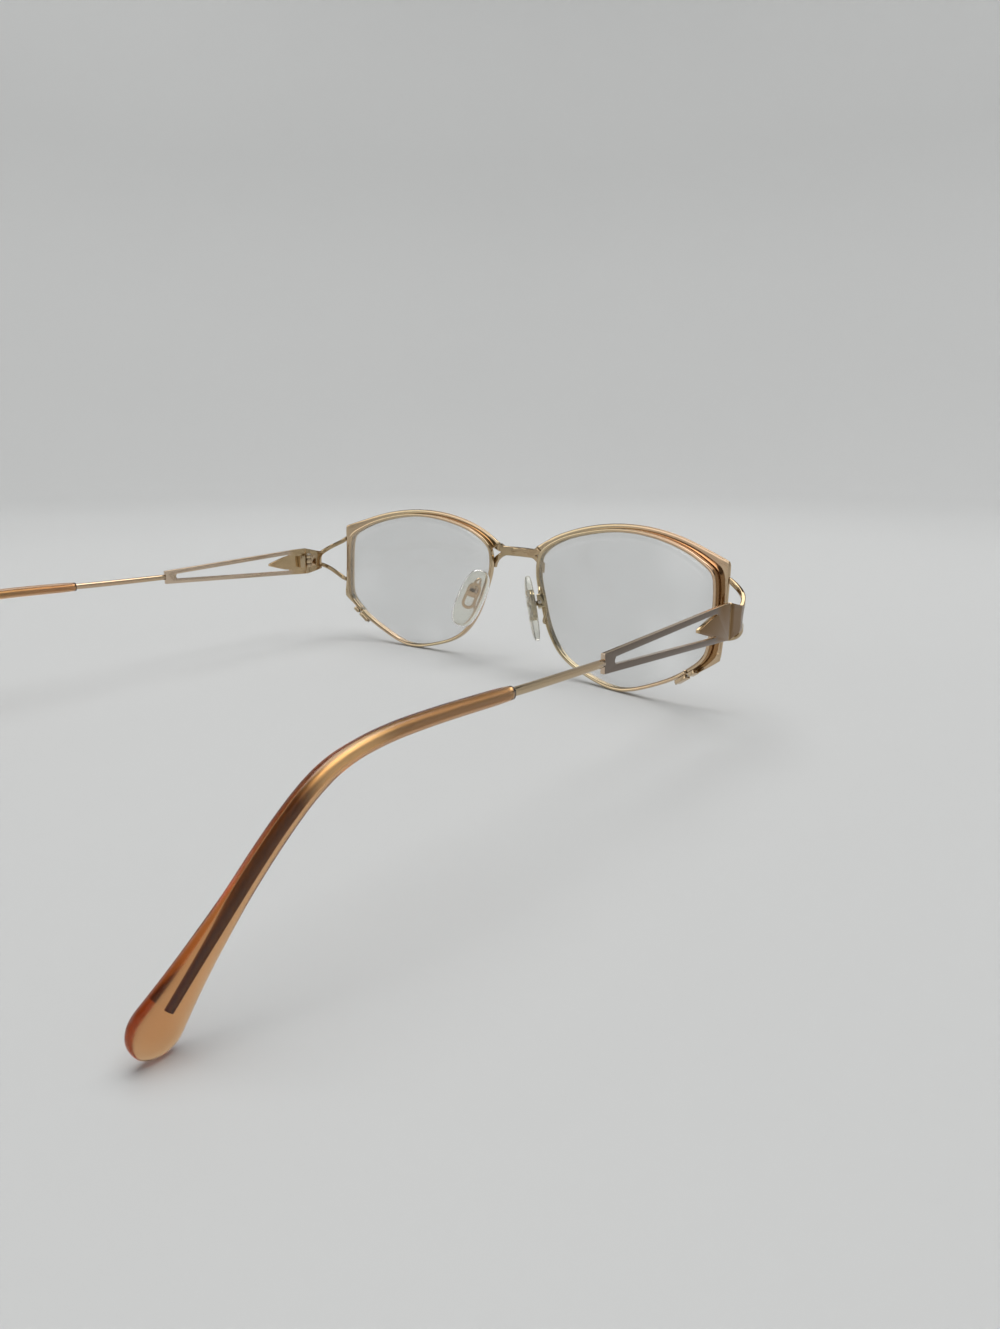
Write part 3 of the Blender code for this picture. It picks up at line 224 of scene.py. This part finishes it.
# A zone is where a change begins and where it is complete
TEMPLE_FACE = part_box("left_temple_plate")[1].x
TEMPLE_MIDDLE = joint_place("left_temple_fold").z
OUTER_FACE_ZONE = (TEMPLE_FACE - 0.12 * MM, TEMPLE_FACE - 0.02 * MM)
BARS_START_ZONE = (-50.0 * MM, -47.0 * MM)      # along Y, where the bars leave the tab
BARS_ASIDE_ZONE = (2.06 * MM, 2.14 * MM)        # off the temple's middle, past the arrow's base
ARROW_END_ZONE = (-41.0 * MM, -40.0 * MM)       # along Y, past the arrow's point
# Outermost face painted darker: partly the plate's own tone, partly painted dark reflection
TAB_FACE_DARK = (0.21, 0.125, 0.058)
BAR_FACE_DARK = (0.195, 0.158, 0.132)
INNER_BAR_PINK = (0.62, 0.49, 0.37)

# The wire inside the amber tip, along Y from the tip's mouth
TIP_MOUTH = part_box("left_temple_tip")[0].y
CORE_COVERED_ZONE = (TIP_MOUTH, TIP_MOUTH + 1 * MM)
# Painted highlight on the core at the tip's bend, and painted shade past it standing in for dark reflection; their
# colours follow
CORE_PAINTED_HIGHLIGHT_ZONE = (TIP_MOUTH + 21 * MM, TIP_MOUTH + 28 * MM)
CORE_PAINTED_SHADE_ZONE = (TIP_MOUTH + 32.5 * MM, TIP_MOUTH + 37.5 * MM)
CORE_DULLING = 0.36
CORE_PAINTED_HIGHLIGHT = (1.0, 0.90, 0.64)
CORE_PAINTED_SHADE = (0.17, 0.085, 0.03)


def metal_graph(name, stops, roughness, grain=1.0):
    """Plated metal: slight drift of colour, polish that varies, and a faint drawn grain."""
    material, tree, shader = shader_graph(name, Metallic=1.0)
    colour = ramp(tree, noise(tree, DRIFT_SCALE, 1.5), stops)
    tree.links.new(colour, shader.inputs["Base Color"])
    polish = spread(tree, noise(tree, POLISH_SCALE, 4.0), *roughness)
    tree.links.new(polish, shader.inputs["Roughness"])
    bump(tree, shader, noise(tree, GRAIN_SCALE, 2.0), GRAIN_STRENGTH * grain, GRAIN_HEIGHT)
    return material, tree, shader


def metal(*settings):
    """Plated metal with nothing more than its drift, polish and grain."""
    return metal_graph(*settings)[0]


def core_metal(*settings):
    """Plated wire, satin inside the plastic tip, with a painted highlight at the tip's bend and painted shade,
    standing in for dark reflection, behind it.
    """
    material, tree, shader = metal_graph(*settings)
    along = coordinates(tree)[1]
    # Painted highlight on the core at the tip's bend
    bend = mixed(tree, within(tree, along, CORE_PAINTED_HIGHLIGHT_ZONE),
                 source_of(shader, "Base Color"), CORE_PAINTED_HIGHLIGHT)
    # Painted shade on the core past the bend, standing in for dark reflection
    colour = mixed(tree, within(tree, along, CORE_PAINTED_SHADE_ZONE), bend, CORE_PAINTED_SHADE)
    tree.links.new(colour, shader.inputs["Base Color"])
    dulled = calculated(tree, "ADD", source_of(shader, "Roughness"),
                        within(tree, along, CORE_COVERED_ZONE, 0.0, CORE_DULLING))
    tree.links.new(dulled, shader.inputs["Roughness"])
    return material


def darker_outer_face(*settings):
    """Plated metal whose outermost face is painted darker, partly its own tone and partly painted dark reflection:
    tab and arrow in one shade, bars in another.
    """
    material, tree, shader = metal_graph(*settings)
    across, along, height = coordinates(tree)
    off_middle = calculated(tree, "ABSOLUTE", calculated(tree, "SUBTRACT", height, TEMPLE_MIDDLE))
    beside_arrow = calculated(tree, "MULTIPLY", within(tree, along, BARS_START_ZONE),
                              within(tree, off_middle, BARS_ASIDE_ZONE))
    on_bars = calculated(tree, "MAXIMUM", beside_arrow, within(tree, along, ARROW_END_ZONE))
    inside = mixed(tree, on_bars, source_of(shader, "Base Color"), INNER_BAR_PINK)
    # Outermost face painted darker, partly painted dark reflection
    outside = mixed(tree, on_bars, TAB_FACE_DARK, BAR_FACE_DARK)
    on_face = within(tree, calculated(tree, "ABSOLUTE", across), OUTER_FACE_ZONE)
    tree.links.new(mixed(tree, on_face, inside, outside), shader.inputs["Base Color"])
    return material


GOLD = metal("gold_plating", [(0.35, (0.55, 0.455, 0.29)), (0.65, (0.63, 0.445, 0.30))],
             (0.05, 0.11))
SATIN_GOLD = metal("satin_gold_plating",
                   [(0.35, (0.54, 0.445, 0.28)), (0.65, (0.62, 0.44, 0.295))], (0.1, 0.17), 2.0)
BRIDGE_GOLD = metal("bridge_gold_plating",
                    [(0.35, (0.47, 0.37, 0.22)), (0.65, (0.54, 0.37, 0.24))], (0.1, 0.17), 2.0)
# Temple plate, its outermost face painted darker, partly as painted dark reflection
FACE_DARKENED_GOLD = darker_outer_face("toned_gold_plating",
                          [(0.3, (0.55, 0.41, 0.23)), (0.7, (0.60, 0.43, 0.26))],
                          (0.1, 0.18), 2.0)
ENDPIECE_GOLD = darker_outer_face("endpiece_gold_plating",
                             [(0.3, (0.45, 0.35, 0.20)), (0.7, (0.50, 0.36, 0.22))],
                             (0.03, 0.08))
WIRE_METAL = core_metal("wire_plating", [(0.35, (0.50, 0.41, 0.26)), (0.65, (0.58, 0.42, 0.28))],
                        (0.06, 0.12))
SCREW_METAL = metal("screw_metal", [(0.3, (0.55, 0.50, 0.43)), (0.7, (0.60, 0.54, 0.46))],
                    (0.2, 0.32))


# Plastics and paper

PLASTIC_POLISH_SCALE = 90.0         # of the patches of a lens or pad that shine more or less
LENS_VEIL = 0.18                    # how much of the lens is seen rather than seen through
# Scale of the brighter patches of painted glare on the lenses
LENS_GLARE_SCALE = 45.0
AMBER_DEPTH = (0.853, 0.48, 0.0)
AMBER_DENSITY = 680.0               # per metre of plastic
AMBER_STREAK_SCALE = 140.0
AMBER_STREAKS = (1.0, 0.35, 1.0)    # longer along the temple
AMBER_POLISH_SCALE = 500.0
AMBER_RIPPLE_SCALE = 900.0
AMBER_RIPPLE_STRENGTH = 0.1
AMBER_RIPPLE_HEIGHT = 0.02 * MM
PAPER_PATCH_SCALE = 3.0


def lens_plastic(name, veil):
    """A clear lens: a faint grey veil with a polished surface and a few brighter cloudy patches of painted glare.
    """
    material, tree, shader = shader_graph(name, Alpha=veil, Specular_IOR_Level=1.0,
                                          Coat_Weight=1.0, Coat_Roughness=0.02)
    # The grey veil, with brighter cloudy patches that are painted glare
    glare_patches = ramp(tree, noise(tree, LENS_GLARE_SCALE, 1.0),
                  [(0.5, (0.42, 0.44, 0.44)), (0.75, (0.88, 0.90, 0.91))])
    tree.links.new(glare_patches, shader.inputs["Base Color"])
    polish = spread(tree, noise(tree, PLASTIC_POLISH_SCALE, 1.0), 0.03, 0.08)
    tree.links.new(polish, shader.inputs["Roughness"])
    return material


def pad_plastic(name, colour):
    """Clear soft plastic with a duller skin."""
    material, tree, shader = shader_graph(name, Base_Color=(*colour, 1.0), IOR=1.35,
                                          Transmission_Weight=0.88, Coat_Weight=0.5,
                                          Coat_Roughness=0.08)
    polish = spread(tree, noise(tree, PLASTIC_POLISH_SCALE, 1.0), 0.12, 0.18)
    tree.links.new(polish, shader.inputs["Roughness"])
    return material


def amber_plastic(name):
    """Amber plastic: it takes its colour from how far light goes through it; cloudy streaks."""
    material, tree, shader = shader_graph(name, Transmission_Weight=1.0, IOR=1.47)
    streaks = noise(tree, AMBER_STREAK_SCALE, 4.0, AMBER_STREAKS)
    colour = ramp(tree, streaks, [(0.3, (0.92, 0.84, 0.74)), (0.7, (0.99, 0.95, 0.88))])
    tree.links.new(colour, shader.inputs["Base Color"])
    polish = spread(tree, noise(tree, AMBER_POLISH_SCALE), 0.14, 0.22)
    tree.links.new(polish, shader.inputs["Roughness"])
    bump(tree, shader, noise(tree, AMBER_RIPPLE_SCALE), AMBER_RIPPLE_STRENGTH,
         AMBER_RIPPLE_HEIGHT)
    depth = tree.nodes.new("ShaderNodeVolumeAbsorption")
    depth.inputs["Color"].default_value = (*AMBER_DEPTH, 1.0)
    depth.inputs["Density"].default_value = AMBER_DENSITY
    output = next(node for node in tree.nodes if node.type == "OUTPUT_MATERIAL")
    tree.links.new(depth.outputs["Volume"], output.inputs["Volume"])
    return material


def paper(name, colour, shading=0.985):
    """Pale paper for the floor and wall, with very slightly darker patches."""
    material, tree, shader = shader_graph(name, Roughness=0.6)
    darker = [share * shading for share in colour]
    pale = ramp(tree, noise(tree, PAPER_PATCH_SCALE, 2.0), [(0.3, colour), (0.7, darker)])
    tree.links.new(pale, shader.inputs["Base Color"])
    return material


LENS_PLASTIC = lens_plastic("lens_plastic", LENS_VEIL)
PAD_PLASTIC = pad_plastic("pad_plastic", (0.93, 0.925, 0.85))
AMBER = amber_plastic("amber_plastic")
FLOOR = paper("floor_paper", (0.60, 0.605, 0.60))


# Finer forms over the CAD nodes

WELD = 0.002 * MM
JOIN_ANGLE = math.radians(15)           # triangles flatter than this become one face
JOIN_SKEW = math.radians(70)

# An edge of a swept form that turns by more than its angle is a real corner
CORNER_ANGLE = math.radians(50)
PRONG_ANGLE = math.radians(40)
LENS_ANGLE = math.radians(25)
CAP_ANGLE = math.radians(65)
SMOOTH_LEVELS = 2
RIM_CROWN = 0.1 * MM
TRIM_CROWN = 0.14 * MM
CROWN_FACING = 0.8                      # least share of a strip's normal that is along Y

SOFT_EDGE = 0.07 * MM                   # broken edges of the bridge and the openwork
FINE_EDGE = 0.04 * MM                   # and of the small pieces
EDGE_ANGLE = math.radians(35)           # an edge that turns by more is broken
FLAT_ANGLE = math.radians(1)

MOUTH_DEPTH = 0.8 * MM                  # how far the rounded mouth of the bore reaches
MOUTH_FACING = -0.7                     # a face of the mouth has a lower Y in its normal


def node_shape(node):
    """The node's own mesh, welded, with its flat and gently curved triangles joined again."""
    shape = bmesh.new()
    shape.from_mesh(NODES[node].data)
    bmesh.ops.remove_doubles(shape, verts=shape.verts, dist=WELD)
    bmesh.ops.join_triangles(shape, faces=shape.faces, angle_face_threshold=JOIN_ANGLE,
                             angle_shape_threshold=JOIN_SKEW)
    return shape


def finished(node, shape, material):
    """A piece that stands for a node, with the node's body and slot."""
    mesh = bpy.data.meshes.new(node + "_form")
    bmesh.ops.recalc_face_normals(shape, faces=shape.faces)
    shape.to_mesh(mesh)
    shape.free()
    for polygon in mesh.polygons:
        polygon.use_smooth = True
    mesh.materials.append(material)
    piece = bpy.data.objects.new(node + "_form", mesh)
    bpy.context.scene.collection.objects.link(piece)
    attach(piece, body_of(node))
    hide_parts(node)
    return piece


def crease_corners(shape, angle):
    """Keep the edges that turn by more than the angle sharp when the shape is smoothed."""
    layer = shape.edges.layers.float.new("crease_edge")
    for edge in shape.edges:
        if edge.is_manifold and edge.calc_face_angle() > angle:
            edge[layer] = 1.0


def crown(shape, height):
    """Raise the middle of the strips that face the wearer or look ahead."""
    strips = {face for face in shape.faces if abs(face.normal.y) > CROWN_FACING}
    rungs = [edge for edge in shape.edges if edge.is_manifold
             and all(face in strips for face in edge.link_faces)]
    ways = {edge: sum((face.normal for face in edge.link_faces), Vector()).normalized()
            for edge in rungs}
    middles = {}
    for edge, way in ways.items():
        middles[((edge.verts[0].co + edge.verts[1].co) / 2).freeze()] = way
    made = bmesh.ops.subdivide_edges(shape, edges=rungs, cuts=1)
    for vert in made["geom_inner"]:
        if isinstance(vert, bmesh.types.BMVert):
            way = middles.get(vert.co.copy().freeze())
            if way:
                vert.co += way * height


def smoothed(node, shape, material, angle):
    """A piece whose surface is smoothed between the corners sharper than the angle."""
    crease_corners(shape, angle)
    piece = finished(node, shape, material)
    step = piece.modifiers.new("smooth", "SUBSURF")
    step.levels = step.render_levels = SMOOTH_LEVELS


def swept(node, material, angle=CORNER_ANGLE, rise=0.0):
    """A bent or drawn form, smoothed along its length, with its faces crowned by the rise."""
    shape = node_shape(node)
    if rise:
        crown(shape, rise)
    smoothed(node, shape, material, angle)


def stamped(node, material, edge=SOFT_EDGE):
    """A cut or stamped form with its edges broken."""
    shape = node_shape(node)
    bmesh.ops.dissolve_limit(shape, angle_limit=FLAT_ANGLE, verts=shape.verts, edges=shape.edges)
    piece = finished(node, shape, material)
    step = piece.modifiers.new("edges", "BEVEL")
    step.width = edge
    step.segments = 2
    step.limit_method = "ANGLE"
    step.angle_limit = EDGE_ANGLE
    step.harden_normals = True


def outer_skin(node):
    """The outside of a piece with a blind bore: the bore and its mouth are left out."""
    shape = node_shape(node)
    front = min(vert.co.y for vert in shape.verts)
    mouth = [face for face in shape.faces if face.normal.y < MOUTH_FACING
             and face.calc_center_median().y < front + MOUTH_DEPTH]
    bmesh.ops.delete(shape, geom=mouth, context="FACES_ONLY")
    keep = set()
    reached = [max(shape.verts, key=lambda vert: vert.co.y)]
    while reached:
        vert = reached.pop()
        if vert in keep:
            continue
        keep.add(vert)
        reached.extend(edge.other_vert(vert) for edge in vert.link_edges if edge.link_faces)
    bore = [vert for vert in shape.verts if vert not in keep]
    bmesh.ops.delete(shape, geom=bore, context="VERTS")
    bmesh.ops.holes_fill(shape, edges=[edge for edge in shape.edges if edge.is_boundary])
    return shape


# Nose pads, with the sizes and angles of the CAD ones

PAD_LENGTH = 17.3 * MM
PAD_WIDTH = 7.6 * MM
PAD_FRONT_BULGE = 1.5 * MM              # towards the nose, from the pad's middle plane
PAD_BACK_BULGE = 1.0 * MM
PAD_SQUARENESS = (0.75, 0.75, 0.6)      # powers that fill out the ellipsoid's three sections
PAD_FLARE = math.radians(21.0)
PAD_LEAN = math.radians(11.0)
PAD_SPLAY = math.radians(39.0)
PIVOT_REACH = 1.95 * MM                 # from the pad's screw out to its middle plane
PIVOT_UP = 1.1 * MM                     # the screw above the pad's middle
PAD_SEGMENTS = 64


def pad_frame(side):
    """The pad's middle and its axes: across, up along it and out towards the nose."""
    mirror = 1 if side == "left" else -1
    up = Vector((-math.sin(PAD_FLARE), -math.sin(PAD_LEAN), 0))
    up.z = math.sqrt(1 - up.length_squared)
    nose = Vector((-math.cos(PAD_SPLAY), math.sin(PAD_SPLAY), 0))
    nose = (nose - up * nose.dot(up)).normalized()
    across = up.cross(nose)
    for axis in (across, up, nose):
        axis.x *= mirror
    middle = joint_place(side + "_pad_rock") + nose * PIVOT_REACH - up * PIVOT_UP
    return middle, across, up, nose


def rounded(share, power):
    """The share with its size raised to the power and its sign kept."""
    return math.copysign(abs(share)**power, share)


def nose_pad(side):
    """The pad as one clear cushion round its insert, thinner to its edge."""
    middle, across, up, nose = pad_frame(side)
    shape = bmesh.new()
    bmesh.ops.create_uvsphere(shape, u_segments=PAD_SEGMENTS, v_segments=PAD_SEGMENTS // 2,
                              radius=1.0)
    for vert in shape.verts:
        bulge = PAD_FRONT_BULGE if vert.co.z > 0 else PAD_BACK_BULGE
        x, y, z = (rounded(share, power) for share, power in zip(vert.co, PAD_SQUARENESS))
        vert.co = (middle + across * (x * PAD_WIDTH / 2) + up * (y * PAD_LENGTH / 2)
                   + nose * (z * bulge))
    finished(side + "_nose_pad", shape, PAD_PLASTIC)


def dress_side(side):
    """Every piece of one side of the glasses."""
    swept(side + "_eyewire", GOLD, rise=RIM_CROWN)
    swept(side + "_brow_trim", SATIN_GOLD, rise=TRIM_CROWN)
    swept(side + "_lens", LENS_PLASTIC, LENS_ANGLE)
    swept(side + "_temple_wire", WIRE_METAL, CAP_ANGLE)
    swept(side + "_pad_arm", GOLD, CAP_ANGLE)
    swept(side + "_endpiece", ENDPIECE_GOLD, PRONG_ANGLE)
    stamped(side + "_temple_plate", FACE_DARKENED_GOLD)
    for name in ("front_hinge", "temple_hinge", "closing_block_upper", "closing_block_lower",
                 "pad_box", "pad_insert"):
        stamped(f"{side}_{name}", GOLD, FINE_EDGE)
    for name in ("hinge_screw", "pad_screw", "closing_screw"):
        stamped(f"{side}_{name}", SCREW_METAL, FINE_EDGE)
    tip = side + "_temple_tip"
    smoothed(tip, outer_skin(tip), AMBER, CAP_ANGLE)
    nose_pad(side)


# Surroundings

BOWL_FLOOR = 0.75           # radius of the flat floor
BOWL_BEND = 0.45            # radius of the bend between floor and wall
BOWL_WALL = 0.6             # height of the wall above the bend
FLOOR_STEPS = 4
BEND_STEPS = 12
BOWL_STEPS = 96             # round the bowl
BOWL_WELD = 0.1 * MM

# name, place, aim, width and height, watts, colour
LIGHTS = (
    ("overhead", (0.05, -0.2, 1.15), (-0.05, 0.0, 0.0), (1.4, 1.1), 13.1, (1.0, 1.0, 1.0)),
    ("wall_wash", (0.1, -0.15, 1.3), (0.85, -1.0, 0.25), (1.0, 0.35), 2.4, (1.0, 1.0, 1.0)),
    ("window", (0.68, 0.6, 0.29), (0.0, 0.0, 0.03), (0.56, 0.36), 0.66, (1.0, 0.99, 0.97)),
)
ROOM_COLOUR = (0.95, 0.97, 1.0)
ROOM_STRENGTH = 0.1


def make_bowl():
    """A pale floor that turns up into a wall all round, as one turned sheet."""
    profile = [(BOWL_FLOOR * step / FLOOR_STEPS, 0.0) for step in range(FLOOR_STEPS + 1)]
    for step in range(1, BEND_STEPS + 1):
        turn = math.pi / 2 * step / BEND_STEPS
        profile.append((BOWL_FLOOR + BOWL_BEND * math.sin(turn),
                        BOWL_BEND * (1 - math.cos(turn))))
    profile.append((BOWL_FLOOR + BOWL_BEND, BOWL_BEND + BOWL_WALL))
    mesh = bpy.data.meshes.new("surround")
    edges = [(index, index + 1) for index in range(len(profile) - 1)]
    mesh.from_pydata([(x, 0.0, z) for x, z in profile], edges, [])
    bowl = bpy.data.objects.new("surround", mesh)
    bpy.context.scene.collection.objects.link(bowl)
    turn = bowl.modifiers.new("turn", "SCREW")
    turn.steps = turn.render_steps = BOWL_STEPS
    turn.use_merge_vertices = True
    turn.merge_threshold = BOWL_WELD
    turn.use_smooth_shade = True
    turn.use_normal_calculate = True
    mesh.materials.append(FLOOR)


def area_light(name, place, aim, size, energy, colour):
    """A soft rectangular light that the camera doesn't see."""
    data = bpy.data.lights.new(name, "AREA")
    data.shape = "RECTANGLE"
    data.size, data.size_y = size
    data.energy = energy
    data.color = colour
    lamp = bpy.data.objects.new(name, data)
    lamp.location = place
    lamp.visible_camera = False
    lamp.rotation_euler = (Vector(aim) - Vector(place)).to_track_quat("-Z", "Y").to_euler()
    bpy.context.scene.collection.objects.link(lamp)


def make_light():
    """The soft lights and the faint light of the room."""
    for settings in LIGHTS:
        area_light(*settings)
    world = bpy.data.worlds.new("room")
    world.use_nodes = True
    background = world.node_tree.nodes["Background"]
    background.inputs["Color"].default_value = (*ROOM_COLOUR, 1.0)
    background.inputs["Strength"].default_value = ROOM_STRENGTH
    bpy.context.scene.world = world
    bpy.context.scene.view_settings.view_transform = "Standard"


make_camera()
for side in SIDES:
    dress_side(side)
stamped("bridge", BRIDGE_GOLD)
make_bowl()
make_light()
